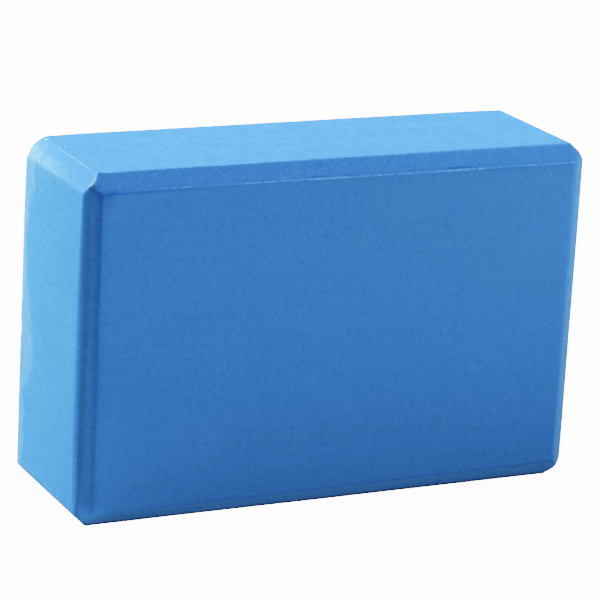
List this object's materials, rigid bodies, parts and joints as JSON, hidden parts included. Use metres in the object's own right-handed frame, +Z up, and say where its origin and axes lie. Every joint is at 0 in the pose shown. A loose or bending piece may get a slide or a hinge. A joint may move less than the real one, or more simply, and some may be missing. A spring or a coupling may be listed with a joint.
{
  "type": "foam exercise block",
  "caption": "Rectangular block of soft closed-cell foam with bevelled edges all round, standing on a long edge, used as a prop, support or pad.",
  "frame": {"origin": "centre of the long edge that the block stands on, at the floor", "axes": "+X along the length, +Y through the thickness from the front large face to the back one, +Z up"},
  "size_m": [0.23, 0.076, 0.15],
  "materials": {
    "blue_foam": "matte, fine-grained closed-cell foam; the two large faces carry a faint moulded grid of small dots, and the edges are cut smooth"
  },
  "bodies": {
    "root": {"foam_block": "blue_foam"}
  },
  "joints": []
}
